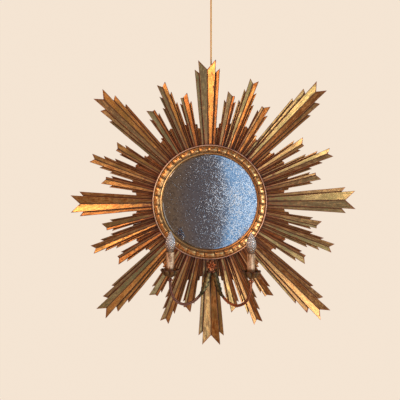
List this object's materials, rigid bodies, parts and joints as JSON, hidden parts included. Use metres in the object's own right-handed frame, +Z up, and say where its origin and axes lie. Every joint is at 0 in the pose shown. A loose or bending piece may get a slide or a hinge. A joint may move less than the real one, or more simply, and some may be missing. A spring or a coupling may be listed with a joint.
{
  "type": "girandole mirror",
  "caption": "Round glass in a carved gilded sunburst frame that hangs from a cord, with a bracket of electric candle arms below the glass.",
  "frame": {"origin": "centre of the glass, on the wall plane that the collar rests against", "axes": "+Z up, +X to the right of someone who looks into the mirror, +Y into the wall"},
  "size_m": [1.056, 0.1721, 1.3431],
  "materials": {
    "gilded_ray": "worn leaf gilding over red-brown ground",
    "gilded_ring": "worn leaf gilding, brighter on the lobes",
    "dark_collar": "dark worn gilding",
    "aged_mirror": "antiqued silvering with dense fine foxing",
    "bare_board": "bare plywood",
    "brass": "dull brass",
    "steel": "plain steel",
    "gold_cord": "twisted gold-brown cord",
    "copper_metal": "dark copper-brown patina",
    "green_leaf": "green-brown patina with gilt edges",
    "gilt_leaf": "olive-gold patina",
    "candle_tube": "aged cream candle tube",
    "lampholder": "dark moulded lampholder",
    "lamp_glass": "clear twisted glass"
  },
  "bodies": {
    "root": {"ray_cardinal_1": "gilded_ray", "ray_cardinal_2": "gilded_ray", "ray_cardinal_3": "gilded_ray", "ray_cardinal_4": "gilded_ray", "ray_diagonal_1": "gilded_ray", "ray_diagonal_2": "gilded_ray", "ray_diagonal_3": "gilded_ray", "ray_diagonal_4": "gilded_ray", "ray_medium_1": "gilded_ray", "ray_medium_2": "gilded_ray", "ray_medium_3": "gilded_ray", "ray_medium_4": "gilded_ray", "ray_medium_5": "gilded_ray", "ray_medium_6": "gilded_ray", "ray_medium_7": "gilded_ray", "ray_medium_8": "gilded_ray", "ray_short_1": "gilded_ray", "ray_short_2": "gilded_ray", "ray_short_3": "gilded_ray", "ray_short_4": "gilded_ray", "ray_short_5": "gilded_ray", "ray_short_6": "gilded_ray", "ray_short_7": "gilded_ray", "ray_short_8": "gilded_ray", "ray_short_9": "gilded_ray", "ray_short_10": "gilded_ray", "ray_short_11": "gilded_ray", "ray_short_12": "gilded_ray", "ray_short_13": "gilded_ray", "ray_short_14": "gilded_ray", "ray_short_15": "gilded_ray", "ray_short_16": "gilded_ray", "collar_board": "dark_collar", "carved_ring": "gilded_ring", "mirror_glass": "aged_mirror", "back_panel": "bare_board", "screw_eye": "steel", "cord_loop_lower": "gold_cord", "hanging_cord": "gold_cord", "cord_loop_upper": "gold_cord", "wall_hook": "brass", "rosette": "copper_metal", "arm_left": "copper_metal", "arm_leaf_left": "green_leaf", "drip_cup_left": "gilt_leaf", "lampholder_left": "lampholder", "candle_sleeve_left": "candle_tube", "arm_right": "copper_metal", "arm_leaf_right": "green_leaf", "drip_cup_right": "gilt_leaf", "lampholder_right": "lampholder", "candle_sleeve_right": "candle_tube"},
    "left_bulb": {"bulb_left": "lamp_glass", "bulb_cap_left": "steel"},
    "right_bulb": {"bulb_right": "lamp_glass", "bulb_cap_right": "steel"},
    "button_1": {"turn_button_1": "brass"},
    "button_2": {"turn_button_2": "brass"},
    "button_3": {"turn_button_3": "brass"},
    "button_4": {"turn_button_4": "brass"}
  },
  "joints": [
    {"name": "left_bulb_turn", "type": "hinge", "parent": "root", "child": "left_bulb", "pos_m": [-0.13128, -0.138, -0.19879], "axis": [0.0209, 0, 0.9998], "continuous": true},
    {"name": "right_bulb_turn", "type": "hinge", "parent": "root", "child": "right_bulb", "pos_m": [0.14766, -0.138, -0.20463], "axis": [0.0209, 0, 0.9998], "continuous": true},
    {"name": "button_turn_1", "type": "hinge", "parent": "root", "child": "button_1", "pos_m": [0.14354, -0.0075, 0.14354], "axis": [0, 1, 0], "continuous": true},
    {"name": "button_turn_2", "type": "hinge", "parent": "root", "child": "button_2", "pos_m": [0.14354, -0.0075, -0.14354], "axis": [0, 1, 0], "continuous": true},
    {"name": "button_turn_3", "type": "hinge", "parent": "root", "child": "button_3", "pos_m": [-0.14354, -0.0075, -0.14354], "axis": [0, 1, 0], "continuous": true},
    {"name": "button_turn_4", "type": "hinge", "parent": "root", "child": "button_4", "pos_m": [-0.14354, -0.0075, 0.14354], "axis": [0, 1, 0], "continuous": true}
  ]
}
